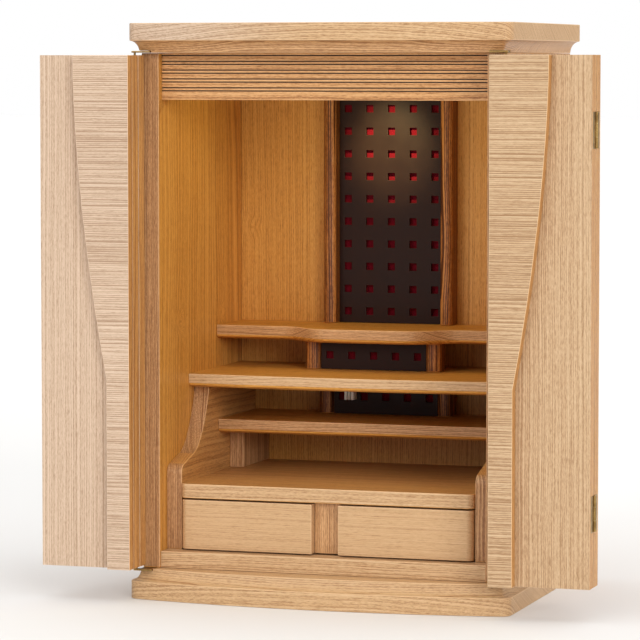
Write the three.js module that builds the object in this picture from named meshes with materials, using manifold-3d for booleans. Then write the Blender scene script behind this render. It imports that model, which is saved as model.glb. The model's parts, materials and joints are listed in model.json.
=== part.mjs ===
// Household altar cabinet in light wood, with folding doors, stepped shelves, two drawers and
// perforated screens. Millimetres, +Z up, +X to the right, and the front faces -Y.
// Depths are counted back from the front edges of the side panels, heights from the underside.
import * as THREE from 'three';
import { mergeVertices } from 'three/addons/utils/BufferGeometryUtils.js';
import Module from 'manifold-3d';

const wasm = await Module();
wasm.setup();

// Gap left between pieces that touch
const seatGap = 0.3;
// How far a cutting tool runs past the face that it opens
const cutOvershoot = 1;

// Body
const bodyHalfWidth = 188.2;
const bodyHeight = 519.5;
const bodyDepth = 267.6;
const sideThickness = 18;
const backThickness = 13.3;

// Base and top board: a slab with a hollow moulding, bowed at the front
const baseSlabHeight = 18;
const topSlabHeight = 17.5;
const coveHeight = 12;
const coveInset = 10;
const slabSideOverhang = 10.1;
const slabFrontOverhang = 15;
const slabBow = 20;
const slabCornerRadius = 12;

// Bottom rail and floor
const floorRise = 17;
const floorThickness = 12;
const railRecess = 1.5;
const railThickness = 16;

// Reeded lintel
const lintelRecess = 9;
const lintelThickness = 18;
const lintelFlatBand = 8.4;
const wideReed = 4.5;
const narrowReed = 1.9;
const reedGroove = 1.2;
const reedGrooveDepth = 1.6;
const wideReedCount = 4;

// Doors: a hinge leaf and a front leaf on each side, folded flat beside the body. Shut, they end in
// line with the ends of the base and the top board
const leafThickness = 16;
const leafBottomGap = 3.3;
const leafTopGap = 2.4;
const doorGap = 2.4;
const foldedGap = 1.6;
const closedMeetingGap = 1.2;
const closedFoldGap = 0.6;
const pivotInset = 6.8;

// Raised panel on each front leaf, wide at the top and swept down to a narrow strip
const raisedThickness = 12;
const raisedTopWidth = 59;
const raisedBottomWidth = 24.3;
const raisedSweepHeight = 322;
const raisedSweepPower = 1.75;

// Pivot plates let into the base and the top board
const pivotPinRadius = 1.1;
const pivotPinReach = 6;
const pivotPinClearance = 0.35;
const pivotPlateWidth = 13;
const pivotPlateThickness = 1.8;
const pivotPlateBack = 20;
const pivotArmHalf = 2.6;
const pivotArmMargin = 1.5;

// Butt hinges between the two leaves
const hingeHeight = 35;
const hingeTopDistance = 72;
const hingeBottomDistance = 72;
const hingePlateWidth = 12.5;
const hingePlateThickness = 1.2;
const knuckleRadius = 2;
const knuckleClearance = 0.35;
const hingePinRadius = 0.8;
const middleKnuckleHeight = 13;

// Curved side boards inside the body
const curvedThickness = 16;
const curvedFrontDepth = 20;
const curvedShoulderHeight = 132;
const curvedNoseRadius = 9;
const curvedLedgeRise = 9;
const curvedLedgeLength = 27;
const curvedTopSetback = 18;
const curvedTopEase = 18;
const curvedTopLean = 4;
const curvedLedgeEase = 24;
const curvedLedgeLift = 4;
const curvedNoseLift = 2;

// Drawer case
const caseFrontDepth = 13.5;
const caseTopUpper = 114.8;
const caseTopThickness = 14.4;
const caseCornerRadius = 7;
const drawerBottomGap = 1.6;
const drawerTopGap = 1.8;
const drawerSideGap = 1;
const drawerFrontThickness = 14;
const drawerBackGap = 19.8;
const drawerBoxInset = 2;
const drawerBoxHeight = 43;
const drawerWall = 8;
const drawerBottomThickness = 6;
const recessHalfWidth = 13.8;
const recessDepth = 10;
const recessPanelThickness = 8;
const recessPanelGap = 0.4;
const dividerHalfWidth = 9;

// Shelves: top surface height, height of the flat front, reach from the back panel, and the
// rounded underside
const shelfRound = 10;
const shelfRoundHeight = 4.6;
const lowerShelf = { top: 169, face: 9.8, reach: 122.3 };
const middleShelf = { top: 220, face: 9.4, reach: 168.3, bow: 8 };
const upperShelf = { top: 264.3, face: 10, reach: 80.3, bulge: 29, flatHalf: 45, sweepHalf: 92 };
const lowerSupportThickness = 15;
const lowerSupportReach = 86.3;

// Perforated screens, their backings and the posts beside them; a reach is from the back panel
const screenHalfWidth = 57;
const screenThickness = 2.5;
const holeSize = 8;
const holePitch = 23.84;
const holesAcross = 5;
const backingGap = 2;
const backingThickness = 2.5;
const backScreenFirstHole = 12.4;
const backScreenRows = 12;
const backPostWidth = 13.5;
const backPostProjection = 16;
const middleScreenReach = 72.3;
const lowerScreenReach = 27.3;
const shelfPostWidth = 16;
const shelfPostProjection = 6;
const shelfPostDepth = 22;
const postNoseShare = 0.8;

// Small plug socket under the middle shelf
const socketOffset = -31;
const socketReach = 58.3;
const socketWidth = 10;
const socketLength = 12;
const socketHeight = 19;

// Facets along each curved stretch
const plainSegments = 6;
const curvedSegments = 10;
const postSegments = 8;
const cornerSteps = 5;
const bowSteps = 14;
const coveSteps = 6;
const shelfRoundSteps = 4;
const middleShelfSteps = 12;
const upperShelfSteps = 32;
const raisedSteps = 16;
const barrelSides = 16;
const pinSides = 12;

// Heights and faces that follow from the sizes above
const bodyBottom = baseSlabHeight + coveHeight;
const bodyTop = bodyBottom + bodyHeight;
const floorTop = bodyBottom + floorRise;
const innerHalfWidth = bodyHalfWidth - sideThickness;
const slabHalfWidth = bodyHalfWidth + slabSideOverhang;
const backFace = bodyDepth - backThickness;
const caseTopUnder = caseTopUpper - caseTopThickness;
const curvedInnerFace = innerHalfWidth - seatGap - curvedThickness;
const leafBottom = bodyBottom + leafBottomGap;
const leafTop = bodyTop - leafTopGap;
const leafWidth = (slabHalfWidth - closedMeetingGap / 2 - closedFoldGap) / 2;
const pivotX = slabHalfWidth - pivotInset;
const pivotY = -doorGap - leafThickness / 2;
const pivotPlateOuter = slabHalfWidth - coveInset - seatGap;
const pivotPlateInner = pivotPlateOuter - pivotPlateWidth;
const leafInner = pivotX - pivotInset;
const leafOuter = leafInner + leafWidth;
const hingeLeafFront = -doorGap - leafThickness;
const frontLeafBack = hingeLeafFront - foldedGap;
const frontLeafFront = frontLeafBack - leafThickness;
const raisedBack = frontLeafFront - seatGap;
const raisedFront = raisedBack - raisedThickness;
const foldX = leafOuter + closedFoldGap / 2;
const foldY = hingeLeafFront - foldedGap / 2;
const drawerBottom = floorTop + drawerBottomGap;
const drawerTop = caseTopUnder - drawerTopGap;
const drawerOuter = curvedInnerFace - drawerSideGap;

const lightWood = new THREE.MeshStandardMaterial({ color: 0xd8b48c, roughness: 0.55 });
const warmWood = new THREE.MeshStandardMaterial({ color: 0xb27632, roughness: 0.55 });
const brownWood = new THREE.MeshStandardMaterial({ color: 0x8a5a34, roughness: 0.6 });
const blackBoard = new THREE.MeshStandardMaterial({ color: 0x2d201e, roughness: 0.35 });
const crimsonCloth = new THREE.MeshStandardMaterial({ color: 0x961428, roughness: 0.8 });
const brass = new THREE.MeshStandardMaterial({ color: 0xb08d4c, roughness: 0.35, metalness: 1 });
const whitePlastic = new THREE.MeshStandardMaterial({ color: 0xe8e6e0, roughness: 0.4 });

const cabinet = new THREE.Group();
cabinet.position.y = -(bodyDepth + raisedFront) / 2;

function add(name, geometry, material) {
  const mesh = new THREE.Mesh(geometry, material);
  mesh.name = name;
  cabinet.add(mesh);
}

// Box from its lowest and highest corner
function block(x0, x1, y0, y1, z0, z1) {
  const geometry = new THREE.BoxGeometry(x1 - x0, y1 - y0, z1 - z0);
  geometry.translate((x0 + x1) / 2, (y0 + y1) / 2, (z0 + z1) / 2);
  return geometry;
}

function upright(radius, x, y, z0, z1, sides = barrelSides) {
  const geometry = new THREE.CylinderGeometry(radius, radius, z1 - z0, sides);
  geometry.rotateX(Math.PI / 2);
  geometry.translate(x, y, (z0 + z1) / 2);
  return geometry;
}

// Plan outline drawn in X and Y, raised from z0 to z1
function raise(shape, z0, z1, curveSegments = plainSegments) {
  const geometry = new THREE.ExtrudeGeometry(shape, { depth: z1 - z0, bevelEnabled: false, curveSegments });
  geometry.translate(0, 0, z0);
  return geometry;
}

// Side profile drawn in Y and Z, run across from x0 to x1
function runAcross(shape, x0, x1, curveSegments = plainSegments) {
  const geometry = new THREE.ExtrudeGeometry(shape, { depth: x1 - x0, bevelEnabled: false, curveSegments });
  const basis = new THREE.Matrix4().makeBasis(
    new THREE.Vector3(0, 1, 0),
    new THREE.Vector3(0, 0, 1),
    new THREE.Vector3(1, 0, 0),
  );
  geometry.applyMatrix4(basis);
  geometry.translate(x0, 0, 0);
  return geometry;
}

// Front outline drawn in X and Z, run back from y0 to y1
function runBack(shape, y0, y1) {
  const geometry = new THREE.ExtrudeGeometry(shape, { depth: y1 - y0, bevelEnabled: false });
  const basis = new THREE.Matrix4().makeBasis(
    new THREE.Vector3(1, 0, 0),
    new THREE.Vector3(0, 0, 1),
    new THREE.Vector3(0, -1, 0),
  );
  geometry.applyMatrix4(basis);
  geometry.translate(0, y1, 0);
  return geometry;
}

// Closed body through rings of points, all with the same count, from the lowest ring up
function loft(rings) {
  const count = rings[0].points.length;
  const positions = [];
  const indices = [];
  for (const ring of rings) {
    for (const point of ring.points) {
      positions.push(point.x, point.y, ring.z);
    }
  }
  for (let level = 0; level < rings.length - 1; level += 1) {
    for (let i = 0; i < count; i += 1) {
      const a = level * count + i;
      const b = level * count + (i + 1) % count;
      indices.push(a, b, b + count, a, b + count, a + count);
    }
  }
  const topStart = (rings.length - 1) * count;
  for (const [a, b, c] of THREE.ShapeUtils.triangulateShape(rings[0].points, [])) {
    indices.push(c, b, a);
  }
  for (const [a, b, c] of THREE.ShapeUtils.triangulateShape(rings.at(-1).points, [])) {
    indices.push(topStart + a, topStart + b, topStart + c);
  }
  const geometry = new THREE.BufferGeometry();
  geometry.setAttribute('position', new THREE.Float32BufferAttribute(positions, 3));
  geometry.setIndex(indices);
  return geometry;
}

function mirrored(geometry) {
  const copy = mergeVertices(bare(geometry));
  copy.scale(-1, 1, 1);
  const index = copy.index.array;
  for (let i = 0; i < index.length; i += 3) {
    [index[i], index[i + 1]] = [index[i + 1], index[i]];
  }
  return copy;
}

function onSide(side, geometry) {
  return side < 0 ? mirrored(geometry) : geometry;
}

function bare(geometry) {
  const copy = geometry.clone();
  copy.deleteAttribute('normal');
  copy.deleteAttribute('uv');
  return copy;
}

function toSolid(geometry) {
  const merged = mergeVertices(bare(geometry));
  return new wasm.Manifold(new wasm.Mesh({
    numProp: 3,
    vertProperties: new Float32Array(merged.attributes.position.array),
    triVerts: new Uint32Array(merged.index.array),
  }));
}

function toGeometry(solid) {
  const mesh = solid.getMesh();
  const geometry = new THREE.BufferGeometry();
  geometry.setAttribute('position', new THREE.Float32BufferAttribute(mesh.vertProperties, 3));
  geometry.setIndex(new THREE.BufferAttribute(new Uint32Array(mesh.triVerts), 1));
  return geometry;
}

function cut(geometry, ...tools) {
  return toGeometry(tools.reduce((solid, tool) => solid.subtract(toSolid(tool)), toSolid(geometry)));
}

function join(...geometries) {
  return toGeometry(geometries.map(toSolid).reduce((whole, piece) => whole.add(piece)));
}

// Base and top board

const bowRadius = (slabHalfWidth ** 2 + slabBow ** 2) / (2 * slabBow);
const bowCentreY = bowRadius - slabFrontOverhang - slabBow;

// Plan outline of the slab, drawn in by an inset at the sides and the front
function slabOutline(inset) {
  const cornerX = slabHalfWidth - slabCornerRadius;
  const reach = bowRadius - slabCornerRadius;
  const cornerY = bowCentreY - Math.sqrt(reach ** 2 - cornerX ** 2);
  const sweep = Math.asin(cornerX / reach);
  const right = [];
  for (let i = 0; i < bowSteps / 2; i += 1) {
    const angle = sweep * (2 * (i + 0.5) / bowSteps);
    const radius = bowRadius - inset;
    right.push(new THREE.Vector2(radius * Math.sin(angle), bowCentreY - radius * Math.cos(angle)));
  }
  for (let i = 0; i <= cornerSteps; i += 1) {
    const angle = sweep + (Math.PI / 2 - sweep) * i / cornerSteps;
    const radius = slabCornerRadius - inset;
    right.push(new THREE.Vector2(cornerX + radius * Math.sin(angle), cornerY - radius * Math.cos(angle)));
  }
  right.push(new THREE.Vector2(slabHalfWidth - inset, bodyDepth));
  const left = right.map((point) => new THREE.Vector2(-point.x, point.y)).reverse();
  return [...left, ...right];
}

// Slab with its hollow moulding; direction is +1 where the moulding is above the slab
function mouldedBoard(slabStart, slabHeight, direction) {
  const rings = [{ z: slabStart, points: slabOutline(0) }];
  for (let i = 0; i <= coveSteps; i += 1) {
    const angle = Math.PI / 2 * i / coveSteps;
    const rise = slabHeight + coveHeight * (1 - Math.cos(angle));
    rings.push({ z: slabStart + direction * rise, points: slabOutline(coveInset * Math.sin(angle)) });
  }
  return loft(direction > 0 ? rings : rings.reverse());
}

// Plate let into the moulding, with an arm that reaches out to the pivot pin
function pivotPlate(z0, z1) {
  return join(
    block(pivotPlateInner, pivotPlateOuter, pivotY - pivotArmHalf, pivotPlateBack, z0, z1),
    block(pivotPlateInner, pivotX + pivotPinRadius + pivotArmMargin,
      pivotY - pivotArmHalf, pivotY + pivotArmHalf, z0, z1),
  );
}

// The pocket for the plate runs out through the edge of the moulding
function pivotPocket(side, z0, z1) {
  return onSide(side, block(pivotPlateInner - seatGap, slabHalfWidth,
    pivotY - pivotArmHalf - seatGap, pivotPlateBack + seatGap, z0, z1));
}

const sides = [-1, 1];
const lowerPockets = sides.map((side) => pivotPocket(
  side, bodyBottom - pivotPlateThickness - seatGap, bodyBottom + cutOvershoot));
const upperPockets = sides.map((side) => pivotPocket(
  side, bodyTop - cutOvershoot, bodyTop + pivotPlateThickness + seatGap));
add('base', cut(mouldedBoard(0, baseSlabHeight, 1), ...lowerPockets), lightWood);
const totalHeight = bodyTop + coveHeight + topSlabHeight;
add('top_board', cut(mouldedBoard(totalHeight, topSlabHeight, -1), ...upperPockets), lightWood);

// Body

for (const side of sides) {
  const name = side < 0 ? 'left' : 'right';
  const panel = block(innerHalfWidth, bodyHalfWidth, 0, bodyDepth, bodyBottom + seatGap, bodyTop - seatGap);
  add(`${name}_side_panel`, onSide(side, panel), warmWood);
}
const betweenSides = innerHalfWidth - seatGap;
add('back_panel', block(-betweenSides, betweenSides, backFace, bodyDepth,
  bodyBottom + seatGap, bodyTop - seatGap), warmWood);
add('bottom_rail', block(-betweenSides, betweenSides, railRecess, railRecess + railThickness,
  bodyBottom + seatGap, floorTop), lightWood);
add('floor_board', block(-betweenSides, betweenSides, railRecess + railThickness + seatGap,
  backFace - seatGap, floorTop - floorThickness, floorTop), lightWood);

// Front profile of the lintel: a flat band, then grooves with narrow and wide reeds in turn
function lintelProfile() {
  const front = lintelRecess;
  const groove = front + reedGrooveDepth;
  const reeds = [];
  for (let i = 0; i < wideReedCount; i += 1) {
    reeds.push(narrowReed, wideReed);
  }
  reeds.push(narrowReed);
  const height = lintelFlatBand + reeds.reduce((sum, reed) => sum + reed + reedGroove, 0);
  let z = bodyTop - seatGap - height;
  const points = [[front, z]];
  z += lintelFlatBand;
  points.push([front, z]);
  for (const reed of reeds) {
    points.push([groove, z], [groove, z + reedGroove], [front, z + reedGroove]);
    z += reedGroove + reed;
    points.push([front, z]);
  }
  points.push([front + lintelThickness, z], [front + lintelThickness, points[0][1]]);
  return new THREE.Shape(points.map(([y, height]) => new THREE.Vector2(y, height)));
}
add('lintel', runAcross(lintelProfile(), -betweenSides, betweenSides), lightWood);

// Curved side boards: an upright front, a rounded nose, a ledge and a hollow sweep up
const middleShelfUnder = middleShelf.top - middleShelf.face - shelfRoundHeight;
function curvedSideProfile() {
  const top = middleShelfUnder - seatGap;
  const topDepth = backFace - middleShelf.reach + curvedTopSetback;
  const noseEnd = curvedFrontDepth + curvedNoseRadius;
  const ledgeEnd = noseEnd + curvedLedgeLength;
  const ledgeHeight = curvedShoulderHeight + curvedLedgeRise;
  const shape = new THREE.Shape();
  shape.moveTo(curvedFrontDepth, floorTop + seatGap);
  shape.lineTo(backFace - seatGap, floorTop + seatGap);
  shape.lineTo(backFace - seatGap, top);
  shape.lineTo(topDepth, top);
  shape.bezierCurveTo(
    topDepth - curvedTopLean, top - curvedTopEase,
    ledgeEnd + curvedLedgeEase, ledgeHeight + curvedLedgeLift,
    ledgeEnd, ledgeHeight,
  );
  shape.lineTo(noseEnd, curvedShoulderHeight + curvedNoseLift);
  shape.quadraticCurveTo(
    curvedFrontDepth, curvedShoulderHeight,
    curvedFrontDepth, curvedShoulderHeight - curvedNoseRadius,
  );
  return shape;
}
for (const side of sides) {
  const name = side < 0 ? 'left' : 'right';
  const board = runAcross(curvedSideProfile(), curvedInnerFace, innerHalfWidth - seatGap, curvedSegments);
  add(`${name}_curved_side`, onSide(side, board), brownWood);
}

// Drawer case and drawers

// Plan of a board whose front corner on the outer side is rounded
function roundedFront(x0, x1, y0, y1, roundBoth) {
  const r = caseCornerRadius;
  const shape = new THREE.Shape();
  if (roundBoth) {
    shape.moveTo(x0, y0 + r);
    shape.absarc(x0 + r, y0 + r, r, Math.PI, Math.PI * 1.5, false);
  } else {
    shape.moveTo(x0, y0);
  }
  shape.lineTo(x1 - r, y0);
  shape.absarc(x1 - r, y0 + r, r, -Math.PI / 2, 0, false);
  shape.lineTo(x1, y1);
  shape.lineTo(x0, y1);
  return shape;
}
const caseHalf = curvedInnerFace - seatGap;
add('case_top', raise(roundedFront(-caseHalf, caseHalf, caseFrontDepth, backFace - seatGap, true),
  caseTopUnder, caseTopUpper), lightWood);
const recessPanelFront = caseFrontDepth + recessDepth;
const recessPanelHalf = recessHalfWidth - recessPanelGap;
add('recess_panel', block(-recessPanelHalf, recessPanelHalf, recessPanelFront,
  recessPanelFront + recessPanelThickness, drawerBottom, caseTopUnder - seatGap), lightWood);
add('case_divider', block(-dividerHalfWidth, dividerHalfWidth,
  recessPanelFront + recessPanelThickness + seatGap, backFace - seatGap,
  floorTop + seatGap, caseTopUnder - seatGap), lightWood);

for (const side of sides) {
  const name = side < 0 ? 'left' : 'right';
  const frontBack = caseFrontDepth + drawerFrontThickness;
  const front = raise(roundedFront(recessHalfWidth, drawerOuter, caseFrontDepth, frontBack, false),
    drawerBottom, drawerTop);
  add(`${name}_drawer_front`, onSide(side, front), lightWood);
  const box = {
    x0: recessHalfWidth + drawerBoxInset,
    x1: drawerOuter - drawerBoxInset,
    y0: frontBack + seatGap,
    y1: backFace - drawerBackGap,
    z0: floorTop + seatGap,
    z1: floorTop + seatGap + drawerBoxHeight,
  };
  const tray = cut(
    block(box.x0, box.x1, box.y0, box.y1, box.z0, box.z1),
    block(box.x0 + drawerWall, box.x1 - drawerWall, box.y0 + drawerWall, box.y1 - drawerWall,
      box.z0 + drawerBottomThickness, box.z1 + drawerWall),
  );
  add(`${name}_drawer_box`, onSide(side, tray), lightWood);
}

// Shelves

// Shelf with a shaped front edge; frontAt gives the depth of the edge at each x
function shelf(size, halfWidth, frontAt, steps) {
  const outline = (recess) => {
    const points = [
      new THREE.Vector2(halfWidth, backFace - seatGap),
      new THREE.Vector2(-halfWidth, backFace - seatGap),
    ];
    for (let i = 0; i <= steps; i += 1) {
      const x = halfWidth * (2 * i / steps - 1);
      points.push(new THREE.Vector2(x, frontAt(x) + recess));
    }
    return points;
  };
  const rings = [];
  for (let i = 0; i <= shelfRoundSteps; i += 1) {
    const angle = Math.PI / 2 * (1 - i / shelfRoundSteps);
    rings.push({
      z: size.top - size.face - shelfRoundHeight * Math.sin(angle),
      points: outline(shelfRound * (1 - Math.cos(angle))),
    });
  }
  rings.push({ z: size.top, points: outline(0) });
  return loft(rings);
}

function middleShelfFront(x) {
  return backFace - middleShelf.reach - middleShelf.bow * (1 - (x / betweenSides) ** 2);
}

function upperShelfFront(x) {
  const t = (Math.abs(x) - upperShelf.flatHalf) / (upperShelf.sweepHalf - upperShelf.flatHalf);
  const blend = (1 + Math.cos(Math.PI * THREE.MathUtils.clamp(t, 0, 1))) / 2;
  return backFace - upperShelf.reach - upperShelf.bulge * blend;
}
const lowerHalf = curvedInnerFace - seatGap;
add('lower_shelf', shelf(lowerShelf, lowerHalf, () => backFace - lowerShelf.reach, 1), lightWood);
add('middle_shelf', shelf(middleShelf, betweenSides, middleShelfFront, middleShelfSteps), lightWood);
add('upper_shelf', shelf(upperShelf, betweenSides, upperShelfFront, upperShelfSteps), lightWood);

const lowerShelfUnder = lowerShelf.top - lowerShelf.face - shelfRoundHeight;
const upperShelfUnder = upperShelf.top - upperShelf.face - shelfRoundHeight;
for (const side of sides) {
  const name = side < 0 ? 'left' : 'right';
  const support = block(lowerHalf - lowerSupportThickness, lowerHalf, backFace - lowerSupportReach,
    backFace - seatGap, caseTopUpper + seatGap, lowerShelfUnder - seatGap);
  add(`${name}_lower_shelf_support`, onSide(side, support), lightWood);
}

// Perforated screens, backings and posts

function perforated(z0, z1, firstHole, rows, front) {
  const back = front + screenThickness;
  const half = holeSize / 2;
  const holes = [];
  for (let row = 0; row < rows; row += 1) {
    for (let column = 0; column < holesAcross; column += 1) {
      const x = (column - (holesAcross - 1) / 2) * holePitch;
      const z = firstHole + row * holePitch;
      holes.push(block(x - half, x + half, front - cutOvershoot, back + cutOvershoot, z - half, z + half));
    }
  }
  return cut(block(-screenHalfWidth, screenHalfWidth, front, back, z0, z1), ...holes);
}

// Post with a rounded front, from its widest plan outline
function post(x0, x1, front, back, z0, z1) {
  const half = (x1 - x0) / 2;
  const nose = half * postNoseShare;
  const shape = new THREE.Shape();
  shape.moveTo(x1, front + nose);
  shape.lineTo(x1, back);
  shape.lineTo(x0, back);
  shape.lineTo(x0, front + nose);
  shape.absellipse(x0 + half, front + nose, half, nose, Math.PI, 2 * Math.PI, false);
  return raise(shape, z0, z1, postSegments);
}

const middleScreenDepth = backFace - middleScreenReach;
const lowerScreenDepth = backFace - lowerScreenReach;
const backScreenDepth = backFace - seatGap - backingThickness - backingGap - screenThickness;
const screens = [
  {
    name: 'back',
    front: backScreenDepth,
    z0: upperShelf.top + seatGap,
    z1: bodyTop - seatGap,
    firstHole: upperShelf.top + backScreenFirstHole,
    rows: backScreenRows,
    postWidth: backPostWidth,
    postFront: backScreenDepth - backPostProjection,
    postBack: backFace - seatGap,
  },
  {
    name: 'middle',
    front: middleScreenDepth,
    z0: middleShelf.top + seatGap,
    z1: upperShelfUnder - seatGap,
    firstHole: (middleShelf.top + upperShelfUnder) / 2,
    rows: 1,
    postWidth: shelfPostWidth,
    postFront: middleScreenDepth - shelfPostProjection,
    postBack: middleScreenDepth - shelfPostProjection + shelfPostDepth,
  },
  {
    name: 'lower',
    front: lowerScreenDepth,
    z0: lowerShelf.top + seatGap,
    z1: middleShelfUnder - seatGap,
    firstHole: (lowerShelf.top + middleShelfUnder) / 2,
    rows: 1,
    postWidth: shelfPostWidth,
    postFront: lowerScreenDepth - shelfPostProjection,
    postBack: lowerScreenDepth - shelfPostProjection + shelfPostDepth,
  },
];
for (const screen of screens) {
  add(`${screen.name}_screen`,
    perforated(screen.z0, screen.z1, screen.firstHole, screen.rows, screen.front), blackBoard);
  const backingFront = screen.front + screenThickness + backingGap;
  add(`${screen.name}_screen_backing`, block(-screenHalfWidth, screenHalfWidth, backingFront,
    backingFront + backingThickness, screen.z0, screen.z1), crimsonCloth);
  for (const side of sides) {
    const name = side < 0 ? 'left' : 'right';
    const inner = screenHalfWidth + seatGap;
    const shaft = post(inner, inner + screen.postWidth, screen.postFront, screen.postBack,
      screen.z0, screen.z1);
    add(`${name}_${screen.name}_post`, onSide(side, shaft), brownWood);
  }
}

const socketDepth = backFace - socketReach;
add('plug_socket', block(socketOffset - socketWidth / 2, socketOffset + socketWidth / 2,
  socketDepth, socketDepth + socketLength,
  middleShelfUnder - seatGap - socketHeight, middleShelfUnder - seatGap), whitePlastic);

// Doors

function raisedWidth(z) {
  const drop = THREE.MathUtils.clamp((leafTop - z) / raisedSweepHeight, 0, 1);
  return raisedTopWidth - (raisedTopWidth - raisedBottomWidth) * drop ** raisedSweepPower;
}

// Front outline of the raised panel, straight along the meeting edge and swept on the other
function raisedOutline() {
  const points = [
    new THREE.Vector2(leafInner, leafTop),
    new THREE.Vector2(leafInner, leafBottom),
    new THREE.Vector2(leafInner + raisedBottomWidth, leafBottom),
  ];
  for (let i = raisedSteps; i >= 0; i -= 1) {
    const z = leafTop - raisedSweepHeight * i / raisedSteps;
    points.push(new THREE.Vector2(leafInner + raisedWidth(z), z));
  }
  return new THREE.Shape(points);
}

// Height ranges of the three knuckles of a hinge centred at a height
function knuckles(centre) {
  const half = hingeHeight / 2;
  const middle = middleKnuckleHeight / 2;
  return [
    [centre - half, centre - middle - seatGap],
    [centre - middle, centre + middle],
    [centre + middle + seatGap, centre + half],
  ];
}

// Recess for a hinge plate and its barrel in the edge of a leaf; toBack is +1 or -1
function hingeRecess(centre, toBack) {
  const half = hingeHeight / 2 + seatGap;
  const edge = foldY + toBack * (foldedGap / 2 + hingePlateWidth + seatGap);
  const plate = block(leafOuter - hingePlateThickness - seatGap, leafOuter + seatGap,
    Math.min(foldY, edge), Math.max(foldY, edge), centre - half, centre + half);
  const barrel = upright(knuckleRadius + knuckleClearance, foldX, foldY, centre - half, centre + half);
  return [plate, barrel];
}

function hingePlate(centre, toBack) {
  const half = hingeHeight / 2;
  const near = foldY + toBack * seatGap;
  const far = foldY + toBack * (foldedGap / 2 + hingePlateWidth);
  const plate = block(leafOuter - hingePlateThickness, leafOuter,
    Math.min(near, far), Math.max(near, far), centre - half, centre + half);
  const [lower, middle, upper] = knuckles(centre);
  const pinHole = upright(hingePinRadius + seatGap, foldX, foldY,
    centre - half - cutOvershoot, centre + half + cutOvershoot, pinSides);
  const own = toBack > 0 ? [lower, upper] : [middle];
  const others = toBack > 0 ? [middle] : [lower, upper];
  const notched = cut(plate, ...others.map(([z0, z1]) => upright(
    knuckleRadius + knuckleClearance, foldX, foldY, z0 - seatGap, z1 + seatGap)));
  const barrels = own.map(([z0, z1]) => upright(knuckleRadius, foldX, foldY, z0, z1));
  if (toBack > 0) {
    const pin = upright(hingePinRadius, foldX, foldY, centre - half, centre + half, pinSides);
    return join(notched, ...barrels, pin);
  }
  return cut(join(notched, ...barrels), pinHole);
}

const hinges = [
  { name: 'upper', centre: leafTop - hingeTopDistance },
  { name: 'lower', centre: leafBottom + hingeBottomDistance },
];
const pinHoleRadius = pivotPinRadius + pivotPinClearance;
for (const side of sides) {
  const name = side < 0 ? 'left' : 'right';
  const hingeLeaf = cut(
    block(leafInner, leafOuter, hingeLeafFront, -doorGap, leafBottom, leafTop),
    upright(pinHoleRadius, pivotX, pivotY,
      leafBottom - cutOvershoot, leafBottom + pivotPinReach + seatGap),
    upright(pinHoleRadius, pivotX, pivotY,
      leafTop - pivotPinReach - seatGap, leafTop + cutOvershoot),
    ...hinges.flatMap((hinge) => hingeRecess(hinge.centre, 1)),
  );
  add(`${name}_hinge_leaf`, onSide(side, hingeLeaf), lightWood);
  const frontLeaf = cut(
    block(leafInner, leafOuter, frontLeafFront, frontLeafBack, leafBottom, leafTop),
    ...hinges.flatMap((hinge) => hingeRecess(hinge.centre, -1)),
  );
  add(`${name}_front_leaf`, onSide(side, frontLeaf), lightWood);
  add(`${name}_raised_panel`, onSide(side, runBack(raisedOutline(), raisedFront, raisedBack)), lightWood);
  for (const hinge of hinges) {
    add(`${name}_${hinge.name}_hinge_pinned_half`, onSide(side, hingePlate(hinge.centre, 1)), brass);
    add(`${name}_${hinge.name}_hinge_front_half`, onSide(side, hingePlate(hinge.centre, -1)), brass);
  }
  add(`${name}_lower_pivot`, onSide(side, join(
    pivotPlate(bodyBottom - pivotPlateThickness, bodyBottom),
    upright(pivotPinRadius, pivotX, pivotY,
      bodyBottom - pivotPlateThickness / 2, leafBottom + pivotPinReach),
  )), brass);
  add(`${name}_upper_pivot`, onSide(side, join(
    pivotPlate(bodyTop, bodyTop + pivotPlateThickness),
    upright(pivotPinRadius, pivotX, pivotY,
      leafTop - pivotPinReach, bodyTop + pivotPlateThickness / 2),
  )), brass);
}

export default cabinet;
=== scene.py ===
import json
import math
import random

import bmesh
import bpy
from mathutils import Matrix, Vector


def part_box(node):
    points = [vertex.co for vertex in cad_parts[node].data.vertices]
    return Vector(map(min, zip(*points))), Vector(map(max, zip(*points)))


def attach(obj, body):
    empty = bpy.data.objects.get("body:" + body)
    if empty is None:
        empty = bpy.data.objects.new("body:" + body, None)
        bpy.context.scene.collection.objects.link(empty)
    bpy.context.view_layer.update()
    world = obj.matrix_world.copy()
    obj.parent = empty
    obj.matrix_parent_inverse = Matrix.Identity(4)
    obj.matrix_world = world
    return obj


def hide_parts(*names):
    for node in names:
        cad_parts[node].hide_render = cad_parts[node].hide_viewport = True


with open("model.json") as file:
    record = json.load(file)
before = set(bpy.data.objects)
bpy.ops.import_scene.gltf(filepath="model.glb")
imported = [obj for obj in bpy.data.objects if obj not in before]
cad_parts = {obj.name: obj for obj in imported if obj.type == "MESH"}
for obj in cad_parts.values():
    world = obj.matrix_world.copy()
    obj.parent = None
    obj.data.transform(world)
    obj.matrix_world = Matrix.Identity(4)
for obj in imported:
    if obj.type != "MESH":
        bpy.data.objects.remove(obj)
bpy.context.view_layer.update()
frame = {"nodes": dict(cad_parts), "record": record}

MM = 0.001

# Camera

# The photograph was taken from the right of the front, at the height of the upper niche.
CAMERA_PLACE = Vector((1.0488, -3.40965, 0.5387))
CAMERA_AIM = Vector((-0.0115, -0.075, 0.2825))
CAMERA_LENS = 197.0
SENSOR_WIDTH = 36.0
CAMERA_REACH = (0.1, 50.0)


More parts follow.
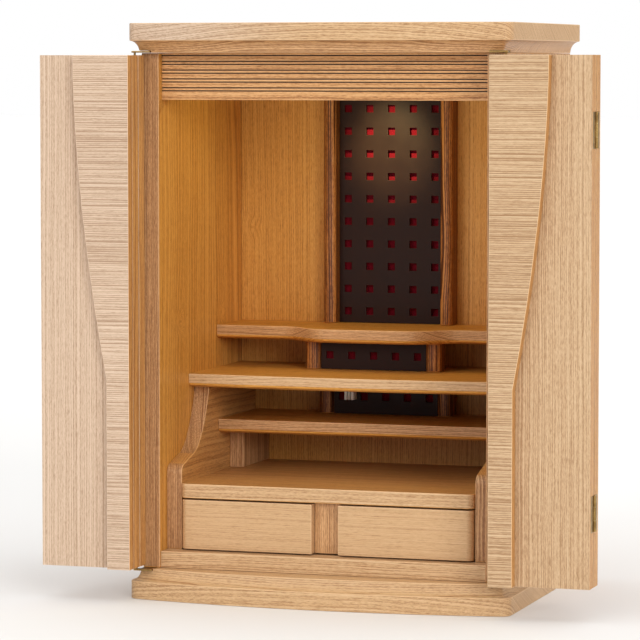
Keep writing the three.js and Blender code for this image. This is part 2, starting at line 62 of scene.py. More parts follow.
def make_camera():
    data = bpy.data.cameras.new("camera")
    data.lens = CAMERA_LENS
    data.sensor_width = SENSOR_WIDTH
    data.clip_start, data.clip_end = CAMERA_REACH
    camera = bpy.data.objects.new("camera", data)
    camera.location = CAMERA_PLACE
    camera.rotation_mode = "QUATERNION"
    camera.rotation_quaternion = (CAMERA_AIM - CAMERA_PLACE).to_track_quat("-Z", "Y")
    bpy.context.scene.collection.objects.link(camera)
    bpy.context.scene.camera = camera


# Shader graphs

# Name of the mesh attribute that is 1 on the rounded arrises, where the shaders paint a highlight
ARRIS = "arris"
NOISE_MIDDLE = 0.5
# Most of a noise lies between these values
NOISE_SPAN = (0.3, 0.7)


class Graph:
    """A material's node tree, with short calls for the nodes that the surfaces use."""

    def __init__(self, name):
        self.material = bpy.data.materials.new(name)
        self.material.use_nodes = True
        self.tree = self.material.node_tree
        self.tree.nodes.clear()
        self.shader = self.node("ShaderNodeBsdfPrincipled")
        output = self.node("ShaderNodeOutputMaterial")
        self.link(self.shader.outputs[0], output.inputs["Surface"])

    def node(self, kind, **values):
        made = self.tree.nodes.new(kind)
        for key, value in values.items():
            setattr(made, key, value)
        return made

    def link(self, source, target):
        if isinstance(source, (int, float, tuple)):
            target.default_value = source
        else:
            self.tree.links.new(source, target)

    def place(self):
        return self.node("ShaderNodeTexCoord").outputs["Object"]

    def math(self, operation, a, b=0.0, c=0.0, clamp=False):
        made = self.node("ShaderNodeMath", operation=operation, use_clamp=clamp)
        for value, target in zip((a, b, c), made.inputs):
            self.link(value, target)
        return made.outputs[0]

    def scaled(self, vector, scale, offset=(0.0, 0.0, 0.0)):
        made = self.node("ShaderNodeMapping")
        self.link(vector, made.inputs["Vector"])
        made.inputs["Scale"].default_value = scale
        made.inputs["Location"].default_value = offset
        return made.outputs[0]

    def noise(self, vector, detail=2.0, roughness=0.5):
        made = self.node("ShaderNodeTexNoise")
        self.link(vector, made.inputs["Vector"])
        made.inputs["Scale"].default_value = 1.0
        made.inputs["Detail"].default_value = detail
        made.inputs["Roughness"].default_value = roughness
        return made.outputs["Fac"]

    def even_noise(self, vector, per_metre, detail):
        """Noise with as many waves per metre along every axis."""
        return self.noise(self.scaled(vector, (per_metre, per_metre, per_metre)), detail=detail)

    def centred(self, noise):
        return self.math("SUBTRACT", noise, NOISE_MIDDLE)

    def noise_line(self, value, detail, roughness=0.6):
        made = self.node("ShaderNodeTexNoise", noise_dimensions="1D")
        self.link(value, made.inputs["W"])
        made.inputs["Scale"].default_value = 1.0
        made.inputs["Detail"].default_value = detail
        made.inputs["Roughness"].default_value = roughness
        return made.outputs["Fac"]

    def remap(self, value, low, high, to_low=0.0, to_high=1.0, smooth=False):
        kind = "SMOOTHSTEP" if smooth else "LINEAR"
        made = self.node("ShaderNodeMapRange", interpolation_type=kind)
        for number, target in zip((value, low, high, to_low, to_high), made.inputs):
            self.link(number, target)
        return made.outputs[0]

    def mix(self, share, a, b):
        made = self.node("ShaderNodeMix", data_type="RGBA")
        self.link(share, made.inputs["Factor"])
        self.link(a, made.inputs["A"])
        self.link(b, made.inputs["B"])
        return made.outputs["Result"]

    def toned(self, shade, tones):
        """Pale, middle and dark colour in turn as the shade goes from 0 to 1."""
        pale, middle, dark = tones
        light_part = self.mix(self.math("MULTIPLY", shade, 2.0, clamp=True), pale, middle)
        return self.mix(self.remap(shade, 0.5, 1.0), light_part, dark)

    def paint_arris_highlight(self, colour, highlight_colour, share):
        """The colour, with that share of a painted highlight colour on the rounded arrises."""
        arris = self.node("ShaderNodeAttribute", attribute_name=ARRIS).outputs["Fac"]
        return self.mix(self.math("MULTIPLY", arris, share), colour, highlight_colour)

    def bump(self, height, distance, strength):
        made = self.node("ShaderNodeBump")
        made.inputs["Strength"].default_value = strength
        made.inputs["Distance"].default_value = distance
        self.link(height, made.inputs["Height"])
        self.link(made.outputs["Normal"], self.shader.inputs["Normal"])

    def set(self, **values):
        for key, value in values.items():
            self.link(value, self.shader.inputs[key.replace("_", " ")])


def srgb(red, green, blue):
    """Linear colour with alpha from 8-bit display values, by the standard sRGB curve."""
    def linear(value):
        share = value / 255
        return share / 12.92 if share <= 0.04045 else ((share + 0.055) / 1.055) ** 2.4
    return (linear(red), linear(green), linear(blue), 1.0)


# Wood

# Pale, middle and dark colour of each wood
TONES = {
    "pink": (srgb(218, 193, 169), srgb(205, 178, 152), srgb(172, 141, 114)),
    "straw": (srgb(213, 184, 147), srgb(198, 164, 126), srgb(163, 126, 88)),
    "gold": (srgb(216, 182, 140), srgb(202, 164, 120), srgb(164, 122, 80)),
    "amber": (srgb(210, 160, 98), srgb(194, 140, 80), srgb(156, 104, 54)),
    "honey": (srgb(222, 165, 84), srgb(206, 145, 65), srgb(170, 110, 40)),
    "brown": (srgb(196, 134, 72), srgb(148, 88, 38), srgb(82, 42, 14)),
    "dusk": (srgb(208, 164, 118), srgb(184, 136, 90), srgb(138, 94, 56)),
    "wheat": (srgb(216, 172, 124), srgb(198, 150, 100), srgb(154, 108, 66)),
    "russet": (srgb(226, 177, 122), srgb(208, 153, 96), srgb(154, 102, 56)),
    # Not a wood: painted shade for the lintel's grooves
    "groove": (srgb(84, 44, 18), srgb(62, 30, 12), srgb(42, 19, 7)),
}
# The board's axes in turn as the two across the grain and the one along it
GRAIN_ORDER = {"x": ("Z", "Y", "X"), "y": ("X", "Z", "Y"), "z": ("X", "Y", "Z")}

# Waves per metre of each noise, twice across the grain and once along it
DRIFT = (7, 7, 2.2)
FINE_DRIFT = (40, 40, 9)
FIBRES = (1000, 1000, 30)
FLECKS = (1250, 1250, 210)
PORES = (1500, 1500, 90)
BROAD = (9, 9, 1.6)

# Reach of the random shift of the grain in metres, and of the first ring's number
SHIFT_REACH = 5
RING_REACH = 50

# Share of the wander in each drift
DRIFT_PUSH = 2
FINE_DRIFT_PUSH = 0.25

# A knot's dark core, and how far out and how much it pushes the rings aside, in metres
KNOT_SIZE = 0.0028
KNOT_REACH = 0.016
KNOT_PUSH = 0.004
KNOT_SHADE = 0.55

# In rings: the jump at a seam, and how fast and how much the rings' widths vary
SEAM_JUMP = 7.3
UNEVEN_PITCH = 0.9
UNEVEN_PUSH = 1.6
# Share of a ring's width over which late wood sets in, and the noise values of a pore's edge
LATE_WOOD = (0.45, 0.98)
PORE_EDGE = (0.6, 0.72)

# What each pattern adds to the shade, which runs from pale at 0 to dark at 1
PLAIN_SHADE = 0.38
UNEVEN_SHADE = 1.8
FIBRE_SHADE = 1.1
FLECK_SHADE = 1.6
BROAD_SHADE = 0.6
PORE_SHADE = 0.45

# Share of the painted highlight on the rounded arrises, and how much brighter than the pale tone it is
WOOD_HIGHLIGHT_SHARE = 0.75
HIGHLIGHT_BRIGHTNESS = 1.12
PORE_HEIGHT = -1.0
RING_HEIGHT = -0.4
ROUGH_FIBRES = (0.2, 0.8)
WOOD_ROUGHNESS = (0.39, 0.55)


def add_knots(g, place, knots, wave):
    """Pushes the rings aside at each knot; gives the new wave and the knots' dark cores."""
    shade = 0.0
    for knot in knots:
        away = g.node("ShaderNodeVectorMath", operation="DISTANCE")
        g.link(place, away.inputs[0])
        away.inputs[1].default_value = knot
        reach = away.outputs["Value"]
        push = g.remap(reach, 0.0, KNOT_REACH, 1.0, 0.0, smooth=True)
        wave = g.math("MULTIPLY_ADD", push, KNOT_PUSH, wave)
        core = g.remap(reach, 0.0, KNOT_SIZE, KNOT_SHADE, 0.0, smooth=True)
        shade = g.math("ADD", core, shade)
    return wave, shade


def wood(name, tone, along, seed, spacing=3.2, centre=(1.5, 0.6), contrast=1.0, late=0.5,
         wander=6.0, fleck=1.0, knots=(), seam=None, ior=1.45, fade=None):
    """Satin lacquered wood. along is the grain's axis, spacing the ring width in mm, centre the pith's
    distance in metres from the board's origin across the grain, and wander the grain's drift in mm.
    Past a seam, a distance across the grain, the veneer comes from another leaf. fade names a second
    tone, a painted tint of the cooler light, and the places along X between which it gives way to the
    first."""
    g = Graph(name)
    draw = random.Random(seed)
    place = g.place()
    parts = g.node("ShaderNodeSeparateXYZ")
    g.link(place, parts.inputs[0])
    ordered = g.node("ShaderNodeCombineXYZ")
    for source, target in zip(GRAIN_ORDER[along], ordered.inputs):
        g.link(parts.outputs[source], target)
    shifts = tuple(draw.uniform(-SHIFT_REACH, SHIFT_REACH) for _ in range(3))
    grain = g.scaled(ordered.outputs[0], (1, 1, 1), shifts)
    drift = g.noise(g.scaled(grain, DRIFT), detail=3)
    fine_drift = g.noise(g.scaled(grain, FINE_DRIFT), detail=2)
    fine_wave = g.math("MULTIPLY", g.centred(fine_drift), wander * MM * FINE_DRIFT_PUSH)
    wave = g.math("MULTIPLY_ADD", g.centred(drift), wander * MM * DRIFT_PUSH, fine_wave)
    wave, knot_shade = add_knots(g, place, knots, wave)
    cross = g.node("ShaderNodeSeparateXYZ")
    g.link(ordered.outputs[0], cross.inputs[0])
    a = g.math("ADD", g.math("SUBTRACT", cross.outputs[0], centre[0]), wave)
    b = g.math("ADD", g.math("SUBTRACT", cross.outputs[1], centre[1]), wave)
    radius = g.math("SQRT", g.math("ADD", g.math("MULTIPLY", a, a), g.math("MULTIPLY", b, b)))
    rings = g.math("MULTIPLY_ADD", radius, 1 / (spacing * MM), draw.uniform(0, RING_REACH))
    if seam is not None:
        past = g.math("LESS_THAN", cross.outputs[0], seam)
        rings = g.math("MULTIPLY_ADD", past, SEAM_JUMP, rings)
    uneven = g.noise_line(g.math("MULTIPLY", rings, UNEVEN_PITCH), detail=3)
    ring_place = g.math("FRACT", g.math("ADD", rings, g.math("MULTIPLY", uneven, UNEVEN_PUSH)))
    edge = g.remap(ring_place, *LATE_WOOD, smooth=True)
    fibres = g.noise(g.scaled(grain, FIBRES), detail=3, roughness=0.6)
    flecks = g.noise(g.scaled(grain, FLECKS), detail=2, roughness=0.7)
    pores = g.remap(g.noise(g.scaled(grain, PORES), detail=1), *PORE_EDGE)
    broad = g.noise(g.scaled(grain, BROAD), detail=2)
    shade = g.math("MULTIPLY_ADD", g.centred(uneven), UNEVEN_SHADE * contrast, PLAIN_SHADE)
    shade = g.math("MULTIPLY_ADD", edge, late * contrast, shade)
    shade = g.math("MULTIPLY_ADD", g.centred(fibres), FIBRE_SHADE * contrast, shade)
    shade = g.math("MULTIPLY_ADD", g.centred(flecks), FLECK_SHADE * fleck, shade)
    shade = g.math("MULTIPLY_ADD", g.centred(broad), BROAD_SHADE, shade)
    shade = g.math("ADD", shade, knot_shade)
    shade = g.math("MULTIPLY_ADD", pores, PORE_SHADE * fleck, shade, clamp=True)
    colour = g.toned(shade, TONES[tone])
    # Painted light tint: the fade tone comes in along X for the cooler light
    if fade is not None:
        other, start, end = fade
        share = g.remap(parts.outputs["X"], start, end, 1.0, 0.0, smooth=True)
        colour = g.mix(share, colour, g.toned(shade, TONES[other]))
    # Painted highlight on the rounded arrises: a brighter copy of the pale tone
    pale = TONES[tone][0]
    highlight_colour = tuple(min(1.0, value * HIGHLIGHT_BRIGHTNESS) for value in pale[:3]) + (1.0,)
    colour = g.paint_arris_highlight(colour, highlight_colour, WOOD_HIGHLIGHT_SHARE)
    height = g.math("MULTIPLY_ADD", pores, PORE_HEIGHT, g.math("ADD", fibres, flecks))
    height = g.math("MULTIPLY_ADD", edge, RING_HEIGHT, height)
    g.bump(height, distance=0.00018, strength=0.6)
    g.set(Base_Color=colour, Roughness=g.remap(fibres, *ROUGH_FIBRES, *WOOD_ROUGHNESS),
          IOR=ior, Coat_Weight=0.08, Coat_Roughness=0.3)
    return g.material


# Other surfaces

# The two colours that each surface varies between, the painted highlight colour of its rounded arrises,
# and the cloth's colour in shadow
LACQUER = (srgb(38, 21, 17), srgb(47, 27, 21))
# Painted highlight on the screens' rounded arrises, and its share
LACQUER_HIGHLIGHT = srgb(84, 60, 50)
LACQUER_HIGHLIGHT_SHARE = 0.4
LACQUER_ROUGHNESS = (0.38, 0.47)
CLOTH = (srgb(106, 2, 20), srgb(166, 4, 34))
CLOTH_SHADOW = srgb(76, 3, 17)
CLOTH_SHADOW_SHARE = 0.35
CLOTH_ROUGHNESS = (0.98, 0.85)
THREADS_PER_METRE = 2600
THREAD_SCALE = 0.5
THREAD_DISTORTION = 1.5
BRASS = (srgb(176, 144, 90), srgb(122, 94, 54))
# Painted highlight on the brass's rounded arrises, and its share
BRASS_HIGHLIGHT = srgb(236, 210, 150)
BRASS_HIGHLIGHT_SHARE = 0.6
BRASS_ROUGHNESS = (0.27, 0.42)
TARNISH_EDGE = (0.35, 0.75)
BRUSH_MARKS = (2200, 2200, 140)
PLASTIC = (srgb(238, 236, 230), srgb(222, 219, 210))
PLASTIC_ROUGHNESS = (0.36, 0.46)


def black_lacquer():
    g = Graph("black_lacquer")
    place = g.place()
    cloud = g.even_noise(place, per_metre=60, detail=3)
    speck = g.even_noise(place, per_metre=900, detail=1)
    # Painted highlight on the rounded arrises
    colour = g.paint_arris_highlight(g.mix(cloud, *LACQUER), LACQUER_HIGHLIGHT, LACQUER_HIGHLIGHT_SHARE)
    g.set(Base_Color=colour, Roughness=g.remap(cloud, *NOISE_SPAN, *LACQUER_ROUGHNESS), IOR=1.25)
    g.bump(speck, distance=0.00005, strength=0.4)
    return g.material


def crimson_cloth():
    g = Graph("crimson_cloth")
    place = g.place()
    threads = g.scaled(place, (THREADS_PER_METRE, THREADS_PER_METRE, THREADS_PER_METRE))
    warp = g.node("ShaderNodeTexWave", bands_direction="X")
    weft = g.node("ShaderNodeTexWave", bands_direction="Z")
    for wave in (warp, weft):
        g.link(threads, wave.inputs["Vector"])
        wave.inputs["Scale"].default_value = THREAD_SCALE
        wave.inputs["Distortion"].default_value = THREAD_DISTORTION
    weave = g.math("MULTIPLY", warp.outputs["Fac"], weft.outputs["Fac"])
    cloud = g.even_noise(place, per_metre=90, detail=2)
    colour = g.mix(weave, *CLOTH)
    colour = g.mix(g.math("MULTIPLY", cloud, CLOTH_SHADOW_SHARE), colour, CLOTH_SHADOW)
    g.set(Base_Color=colour, Roughness=g.remap(weave, 0.0, 1.0, *CLOTH_ROUGHNESS), IOR=1.3,
          Sheen_Weight=0.08)
    g.bump(weave, distance=0.00012, strength=0.6)
    return g.material


def brass():
    g = Graph("brass")
    place = g.place()
    tarnish = g.even_noise(place, per_metre=160, detail=3)
    brushed = g.noise(g.scaled(place, BRUSH_MARKS), detail=2)
    # Tarnish between the two brass colours, with a painted highlight on the rounded arrises
    colour = g.paint_arris_highlight(g.mix(g.remap(tarnish, *TARNISH_EDGE), *BRASS), BRASS_HIGHLIGHT, BRASS_HIGHLIGHT_SHARE)
    g.set(Base_Color=colour, Metallic=1.0, Roughness=g.remap(tarnish, *NOISE_SPAN, *BRASS_ROUGHNESS))
    g.bump(brushed, distance=0.00004, strength=0.5)
    return g.material


def white_plastic():
    g = Graph("white_plastic")
    place = g.place()
    cloud = g.even_noise(place, per_metre=220, detail=3)
    grain = g.even_noise(place, per_metre=4000, detail=1)
    g.set(Base_Color=g.mix(cloud, *PLASTIC),
          Roughness=g.remap(cloud, *NOISE_SPAN, *PLASTIC_ROUGHNESS))
    g.bump(grain, distance=0.00003, strength=0.4)
    return g.material


# Pieces

# Points nearer than this are joined, and depths nearer than this are the same
JOIN_REACH = 0.00002
LEVEL = 0.05 * MM

# In degrees: faces that lie this flat are one, edges this sharp are rounded, and the shading
# is smooth over edges below the last
FLAT_BELOW = 0.6
ROUND_ABOVE = 32
SMOOTH_BELOW = 50

# How far large faces outweigh small ones in the shading
NORMAL_WEIGHT = 90

# Width of a board's rounded arrises, in mm
PLAIN_ARRIS = 0.7


def link_piece(name, mesh, node=None, body=None, material=None):
    piece = bpy.data.objects.new(name, mesh)
    bpy.context.scene.collection.objects.link(piece)
    if material is not None:
        mesh.materials.append(material)
    if node is not None:
        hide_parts(node)
    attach(piece, body)
    return piece


def body_of_node(node):
    for body, members in frame["record"]["behaviour"]["bodies"].items():
        if node in members:
            return body
    raise KeyError(node)


def slot_of_node(node):
    for row in frame["record"]["subparts"]:
        if row["node"] == node:
            return row["material_slot"]
    raise KeyError(node)


def flat_faced(node):
    """The CAD node's mesh with its flat faces whole again, ready for edge work."""
    bm = bmesh.new()
    bm.from_mesh(frame["nodes"][node].data)
    bmesh.ops.remove_doubles(bm, verts=bm.verts, dist=JOIN_REACH)
    bmesh.ops.dissolve_limit(bm, angle_limit=math.radians(FLAT_BELOW),
                             use_dissolve_boundaries=False, verts=bm.verts, edges=bm.edges)
    return bm


def round_arrises(bm, width, segments):
    """Rounds the sharp edges and marks the new faces, on which the shaders paint a highlight."""
    layer = bm.faces.layers.float.new(ARRIS)
    sharp = [edge for edge in bm.edges
             if edge.is_manifold and edge.is_convex
             and edge.calc_face_angle() > math.radians(ROUND_ABOVE)]
    made = bmesh.ops.bevel(bm, geom=sharp, offset=width, offset_type="OFFSET", segments=segments,
                           profile=0.5, affect="EDGES", clamp_overlap=True)
    for face in made["faces"]:
        face[layer] = 1.0


def to_mesh(bm, name):
    mesh = bpy.data.meshes.new(name)
    bm.to_mesh(mesh)
    bm.free()
    mesh.shade_smooth()
    mesh.set_sharp_from_angle(angle=math.radians(SMOOTH_BELOW))
    return mesh


def weigh_normals(piece):
    """Keeps the large faces flat beside the rounded arrises."""
    modifier = piece.modifiers.new("weighted_normals", "WEIGHTED_NORMAL")
    modifier.mode = "FACE_AREA"
    modifier.weight = NORMAL_WEIGHT
    modifier.keep_sharp = True


def finish_board(node, material, arris=PLAIN_ARRIS, segments=2, veneer=None, where=None,
                 setback=0.0):
    """A CAD board with rounded arrises; the faces that where picks have a veneer of their own or painted
    shade. setback sinks the front face, in mm."""
    bm = flat_faced(node)
    if setback:
        front = min(vert.co.y for vert in bm.verts)
        bmesh.ops.translate(bm, vec=(0.0, setback * MM, 0.0),
                            verts=[vert for vert in bm.verts if vert.co.y < front + LEVEL])
    round_arrises(bm, arris * MM, segments)
    if where is not None:
        for face in bm.faces:
            face.material_index = int(where(face))
    mesh = to_mesh(bm, f"{node}_finished")
    piece = link_piece(f"{node}_finished", mesh, node=node, body=body_of_node(node),
                       material=material)
    if veneer is not None:
        mesh.materials.append(veneer)
    weigh_normals(piece)


# Faces that have a veneer of their own, and faces given painted shade

# Least share of a face's normal that turns it sideways or forward, and the share that turns it down
SIDEWAYS = 0.8
FORWARD = 0.3
DOWNWARD = 0.1
# Distance in metres from the middle, past which a side panel's face is its outside
OUTSIDE = 0.1
# Heights in metres of the coves of the base and of the top board
COVES = ((0.0182, 0.0298), (0.5497, 0.5613))
# Depths in metres behind the lintel's front of the groove faces that get painted shade
GROOVES = (0.0004, 0.0018)


def looks_sideways(face):
    return abs(face.normal.x) > SIDEWAYS


def looks_forward(face):
    return face.normal.y < -FORWARD and face.normal.z > -DOWNWARD


def looks_forward_or_out(face):
    """The front edge and the outside of a side panel."""
    outward = face.normal.x * face.calc_center_median().x
    return looks_forward(face) or outward > OUTSIDE


def in_cove(face):
    height = face.calc_center_median().z
    return any(low < height < high for low, high in COVES)


def in_groove(face):
    """Painted shade in the lintel's grooves: faces past the front of the lintel's reeds, and not its
    back, underside or ends.
    """
    depth = face.calc_center_median().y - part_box("lintel")[0].y
    least, most = GROOVES
    return least < depth < most


# Seeds of the first board and of the first veneer
WOOD_SEED = 11
VENEER_SEED = 211


def board_table():
    """Grain, tone and arris of each wooden piece."""
    shelf_front = dict(tone="gold", along="x", spacing=1.5, wander=9, fleck=0.8, where=looks_forward)
    table = {
        "base": dict(tone="gold", along="x", spacing=1.7, late=0.3, wander=5, veneer=dict(
            tone="gold", along="x", centre=(-0.10, -0.105), spacing=2.0, late=0.6, wander=9,
            contrast=0.8, fleck=0.7, where=in_cove)),
        # The top board's left part fades to the pink tone as a painted tint of the cooler light on the
        # left.
        "top_board": dict(tone="gold", along="x", spacing=1.7, late=0.45, wander=5, contrast=0.9,
                          fade=("pink", -0.17, 0.02), veneer=dict(
            tone="wheat", along="x", centre=(0.68, -0.105), spacing=2.0, late=0.6, wander=9,
            where=in_cove)),
        "back_panel": dict(tone="honey", along="z", spacing=2.4, contrast=0.7, seam=-0.1398,
                           knots=((-0.158, 0.144, 0.364),)),
        "bottom_rail": dict(tone="gold", along="x", centre=(0.3, 0.05), spacing=1.8, late=0.5, wander=8),
        "floor_board": dict(tone="gold", along="x"),
        # The lintel's grooves get a dark tone as painted shade.
        "lintel": dict(tone="russet", along="x", contrast=0.75, spacing=2.2, arris=0.3, veneer=dict(
            tone="groove", along="x", spacing=1.2, where=in_groove)),
        "case_top": dict(tone="amber", along="x", spacing=1.6, contrast=1.2, ior=1.3, veneer=dict(
            tone="gold", along="x", spacing=1.6, late=0.3, where=looks_forward)),
        "recess_panel": dict(tone="wheat", along="z", spacing=1.8),
        "case_divider": dict(tone="gold", along="x"),
        "lower_shelf": dict(tone="honey", along="x", spacing=1.8, ior=1.3,
                            veneer=dict(shelf_front, tone="wheat")),
        "middle_shelf": dict(tone="honey", along="x", spacing=1.8, ior=1.3,
                             veneer=dict(shelf_front)),
        "upper_shelf": dict(tone="honey", along="x", spacing=1.8, ior=1.25,
                            veneer=dict(shelf_front, tone="wheat")),
    }
    # The leaves' side edges get a darker, warmer amber tone as painted shade with painted warm bounce
    # light.
    shaded_leaf_edge = dict(tone="amber", along="z", spacing=1.8, where=looks_sideways)
    for side in ("left", "right"):
        # Painted light tint: the left door's pieces get a pinker tone and the right door's a yellower
        # one, for the cooler light on the left.
        tone = "pink" if side == "left" else "straw"
        knots = ((-0.1702, -0.0483, 0.2753), (-0.1702, 0.0801, 0.2769)) if side == "left" else ()
        table[f"{side}_side_panel"] = dict(
            tone="honey", along="z", spacing=2.4, contrast=0.9, knots=knots,
            veneer=dict(tone="dusk", along="z", spacing=1.6, contrast=1.15, late=0.7,
                        where=looks_forward_or_out))
        table[f"{side}_curved_side"] = dict(
            tone="amber", along="y", spacing=1.7, contrast=0.8, wander=3,
            veneer=dict(tone="dusk", along="z", spacing=1.6, contrast=1.15, late=0.7,
                        where=looks_forward))
        table[f"{side}_drawer_front"] = dict(tone="gold", along="x", spacing=1.8, contrast=0.5,
                                             late=0.25, wander=3, fleck=0.5)
        table[f"{side}_drawer_box"] = dict(tone="pink", along="x", spacing=4)
        table[f"{side}_lower_shelf_support"] = dict(tone="dusk", along="z", spacing=2.0)
        for height in ("back", "middle", "lower"):
            table[f"{side}_{height}_post"] = dict(
                tone="brown", along="z", spacing=2.2, contrast=1.3, late=0.9, wander=9,
                centre=(0.03 * (1 if side == "right" else -1), 0.1), arris=1.0)
        table[f"{side}_hinge_leaf"] = dict(tone=tone, along="z", spacing=1.8, veneer=dict(shaded_leaf_edge))
        table[f"{side}_front_leaf"] = dict(tone=tone, along="z", spacing=1.8, late=0.35,
                                           wander=4, veneer=dict(shaded_leaf_edge))
        table[f"{side}_raised_panel"] = dict(
            tone=tone, along="x", spacing=1.9, contrast=1.3, late=0.6, centre=(2.0, 0.4), wander=2.5,
            arris=0.6, fleck=0.7, veneer=dict(shaded_leaf_edge))
    return table


def make_boards():
    for number, (node, look) in enumerate(sorted(board_table().items())):
        arris = look.pop("arris", PLAIN_ARRIS)
        veneer = look.pop("veneer", None)
        where = None
        if veneer is not None:
            where = veneer.pop("where")
            veneer = wood(f"veneer_{node}", seed=number + VENEER_SEED, **veneer)
        finish_board(node, wood(f"wood_{node}", seed=number + WOOD_SEED, **look), arris,
                     veneer=veneer, where=where)


# The cloth lies this much further back than its solid, in mm
CLOTH_SETBACK = 1.3


def make_screens():
    lacquer = black_lacquer()
    cloth = crimson_cloth()
    for name in ("back", "middle", "lower"):
        finish_board(f"{name}_screen", lacquer, arris=0.25, segments=1)
        finish_board(f"{name}_screen_backing", cloth, arris=0.3, setback=CLOTH_SETBACK)


# Metalwork

SCREW_RADIUS = 1.9 * MM
SCREW_SIDES = 20
# Radius share and rise above the plate in mm, from the recess to the rim
SCREW_PROFILE = ((0.22, -0.5), (0.3, 0.12), (0.75, 0.1), (1.0, -0.02), (1.0, -0.3))
# In metres: the plates' distance from the middle of the cabinet, and the screws' distance above
# and below the hinge's middle and in from the edge of the plate
HINGE_PLATE_FACE = 0.28325
SCREW_RISE = 0.0105
SCREW_SETBACK = 0.0068


def add_screw(bm, centre, out):
    """Countersunk screw head with a round drive recess; out is +1 or -1 along X."""
    rings = []
    for share, rise in SCREW_PROFILE:
        ring = []
        for i in range(SCREW_SIDES):
            angle = 2 * math.pi * i / SCREW_SIDES * out
            ring.append(bm.verts.new((centre.x + out * rise * MM,
                                      centre.y + share * SCREW_RADIUS * math.cos(angle),
                                      centre.z + share * SCREW_RADIUS * math.sin(angle))))
        rings.append(ring)
    bm.faces.new(rings[0])
    bm.faces.new(reversed(rings[-1]))
    for inner, outer in zip(rings, rings[1:]):
        for i in range(SCREW_SIDES):
            after = (i + 1) % SCREW_SIDES
            bm.faces.new((inner[after], inner[i], outer[i], outer[after]))


def make_screws(node, metal):
    """Two screws in the plate of one half of a butt hinge."""
    low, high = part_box(node)
    out = 1 if low.x > 0 else -1
    to_back = "pinned" in node
    depth = high.y - SCREW_SETBACK if to_back else low.y + SCREW_SETBACK
    bm = bmesh.new()
    for rise in (-SCREW_RISE, SCREW_RISE):
        add_screw(bm, Vector((out * HINGE_PLATE_FACE, depth, (low.z + high.z) / 2 + rise)), out)
    bmesh.ops.recalc_face_normals(bm, faces=bm.faces)
    name = f"{node}_screws"
    link_piece(name, to_mesh(bm, name), body=body_of_node(node), material=metal)


def make_metal():
    metal = brass()
    for node in sorted(frame["nodes"]):
        if slot_of_node(node) != "brass":
            continue
        finish_board(node, metal, arris=0.2)
        if node.endswith("_half"):
            make_screws(node, metal)


SOCKET_SLOTS = 2
SOCKET_SLOT_WIDTH = 1.3 * MM
SOCKET_SLOT_SHARE = 0.7
SOCKET_ARRIS = 0.3 * MM


def make_socket():
    """White socket with slots that open downwards."""
    low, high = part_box("plug_socket")
    slot_top = low.z + (high.z - low.z) * SOCKET_SLOT_SHARE
    outline = [(low.x, high.z), (low.x, low.z)]
    for i in range(SOCKET_SLOTS):
        middle = low.x + (high.x - low.x) * (i + 1) / (SOCKET_SLOTS + 1)
        near = middle - SOCKET_SLOT_WIDTH / 2
        far = middle + SOCKET_SLOT_WIDTH / 2
        outline += [(near, low.z), (near, slot_top), (far, slot_top), (far, low.z)]
    outline += [(high.x, low.z), (high.x, high.z)]
    bm = bmesh.new()
    front, back = ([bm.verts.new((x, y, z)) for x, z in outline] for y in (low.y, high.y))
    bm.faces.new(front)
    bm.faces.new(reversed(back))
    for i in range(len(outline)):
        after = (i + 1) % len(outline)
        bm.faces.new((front[i], back[i], back[after], front[after]))
    bmesh.ops.recalc_face_normals(bm, faces=bm.faces)
    round_arrises(bm, SOCKET_ARRIS, 2)
    mesh = to_mesh(bm, "plug_socket_shell")
    link_piece("plug_socket_shell", mesh, node="plug_socket", body=body_of_node("plug_socket"),
               material=white_plastic())


# Studio

FLOOR_HALF = 30.0
FLOOR_GAP = 0.0002
FLOOR_COLOURS = ((0.81, 0.81, 0.81, 1.0), (0.83, 0.83, 0.83, 1.0))
WHITE = (1.0, 1.0, 1.0)
DAYLIGHT = (1.0, 0.99, 0.975)
WARM_LIGHT = (1.0, 0.97, 0.94)
WORLD_STRENGTH = 0.22
# Name, side that it stands on, strength, spread in degrees, colour
BROAD_LIGHTS = (
    ("ceiling", (0.0, 0.0, 1.0), 2.7, 115, DAYLIGHT),
    ("left_key", (-0.37, -0.88, 0.33), 0.54, 24, (1.0, 0.98, 0.96)),
    ("right_key", (0.60, -0.75, 0.29), 1.18, 26, WARM_LIGHT),
    ("side_fill", (0.95, 0.10, 0.30), 0.58, 50, WARM_LIGHT),
)
LAMP_COLOUR = (1.0, 0.93, 0.44)
BEAM_PLACE = (0.0, -0.02, 0.54)
BEAM_AIM = (0.0, 0.136, 0.452)
BEAM_POWER = 4.0
BEAM_SPREAD = 36
BEAM_SOFTNESS = 0.012
GLOW_PLACE = (0.0, -0.02, 0.545)
GLOW_AIM = (0.0, 0.0, 0.0)
GLOW_SIZE = (0.20, 0.03)
GLOW_POWER = 0.2


def make_floor():
    g = Graph("floor")
    cloud = g.even_noise(g.place(), per_metre=2, detail=2)
    g.set(Base_Color=g.mix(cloud, *FLOOR_COLOURS), Roughness=0.9, Specular_IOR_Level=0.1)
    bm = bmesh.new()
    bmesh.ops.create_grid(bm, x_segments=1, y_segments=1, size=FLOOR_HALF)
    floor = bpy.data.objects.new("floor", to_mesh(bm, "floor"))
    floor.data.materials.append(g.material)
    floor.location.z = -FLOOR_GAP
    bpy.context.scene.collection.objects.link(floor)


def link_light(name, data, place, aim):
    light = bpy.data.objects.new(name, data)
    light.location = place
    light.rotation_mode = "QUATERNION"
    light.rotation_quaternion = (Vector(aim) - Vector(place)).to_track_quat("-Z", "Y")
    bpy.context.scene.collection.objects.link(light)


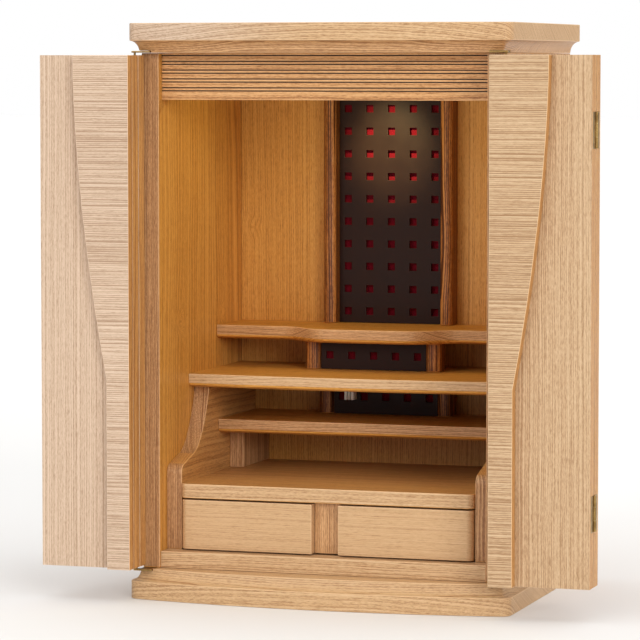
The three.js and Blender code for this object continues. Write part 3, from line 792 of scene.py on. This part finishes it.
def broad_light(name, side, strength, spread, colour):
    """A light as large as a wall or a ceiling, far off on that side of the object."""
    data = bpy.data.lights.new(name, "SUN")
    data.energy = strength
    data.angle = math.radians(spread)
    data.color = colour
    link_light(name, data, side, (0.0, 0.0, 0.0))


def niche_lamp():
    """Small lamp behind the lintel: a beam on the upper rows of holes and a glow down on the shelf."""
    beam = bpy.data.lights.new("niche_beam", "SPOT")
    beam.energy = BEAM_POWER
    beam.color = LAMP_COLOUR
    beam.spot_size = math.radians(BEAM_SPREAD)
    beam.spot_blend = 1.0
    beam.shadow_soft_size = BEAM_SOFTNESS
    link_light("niche_beam", beam, BEAM_PLACE, BEAM_AIM)
    glow = bpy.data.lights.new("niche_glow", "AREA")
    glow.shape = "RECTANGLE"
    glow.size, glow.size_y = GLOW_SIZE
    glow.energy = GLOW_POWER
    glow.color = LAMP_COLOUR
    link_light("niche_glow", glow, GLOW_PLACE, GLOW_AIM)


def make_world():
    """Soft even light, and a white backdrop where the camera looks past the floor."""
    world = bpy.data.worlds.new("studio")
    world.use_nodes = True
    tree = world.node_tree
    light = tree.nodes["Background"]
    light.inputs["Color"].default_value = (*DAYLIGHT, 1.0)
    light.inputs["Strength"].default_value = WORLD_STRENGTH
    backdrop = tree.nodes.new("ShaderNodeBackground")
    backdrop.inputs["Color"].default_value = (*WHITE, 1.0)
    mix = tree.nodes.new("ShaderNodeMixShader")
    path = tree.nodes.new("ShaderNodeLightPath")
    tree.links.new(path.outputs["Is Camera Ray"], mix.inputs["Fac"])
    tree.links.new(light.outputs[0], mix.inputs[1])
    tree.links.new(backdrop.outputs[0], mix.inputs[2])
    tree.links.new(mix.outputs[0], tree.nodes["World Output"].inputs["Surface"])
    bpy.context.scene.world = world


def make_lights():
    make_world()
    for row in BROAD_LIGHTS:
        broad_light(*row)
    niche_lamp()


def make_view():
    settings = bpy.context.scene.view_settings
    settings.view_transform = "Standard"
    settings.look = "None"


make_camera()
make_view()
make_lights()
make_floor()
make_boards()
make_screens()
make_metal()
make_socket()
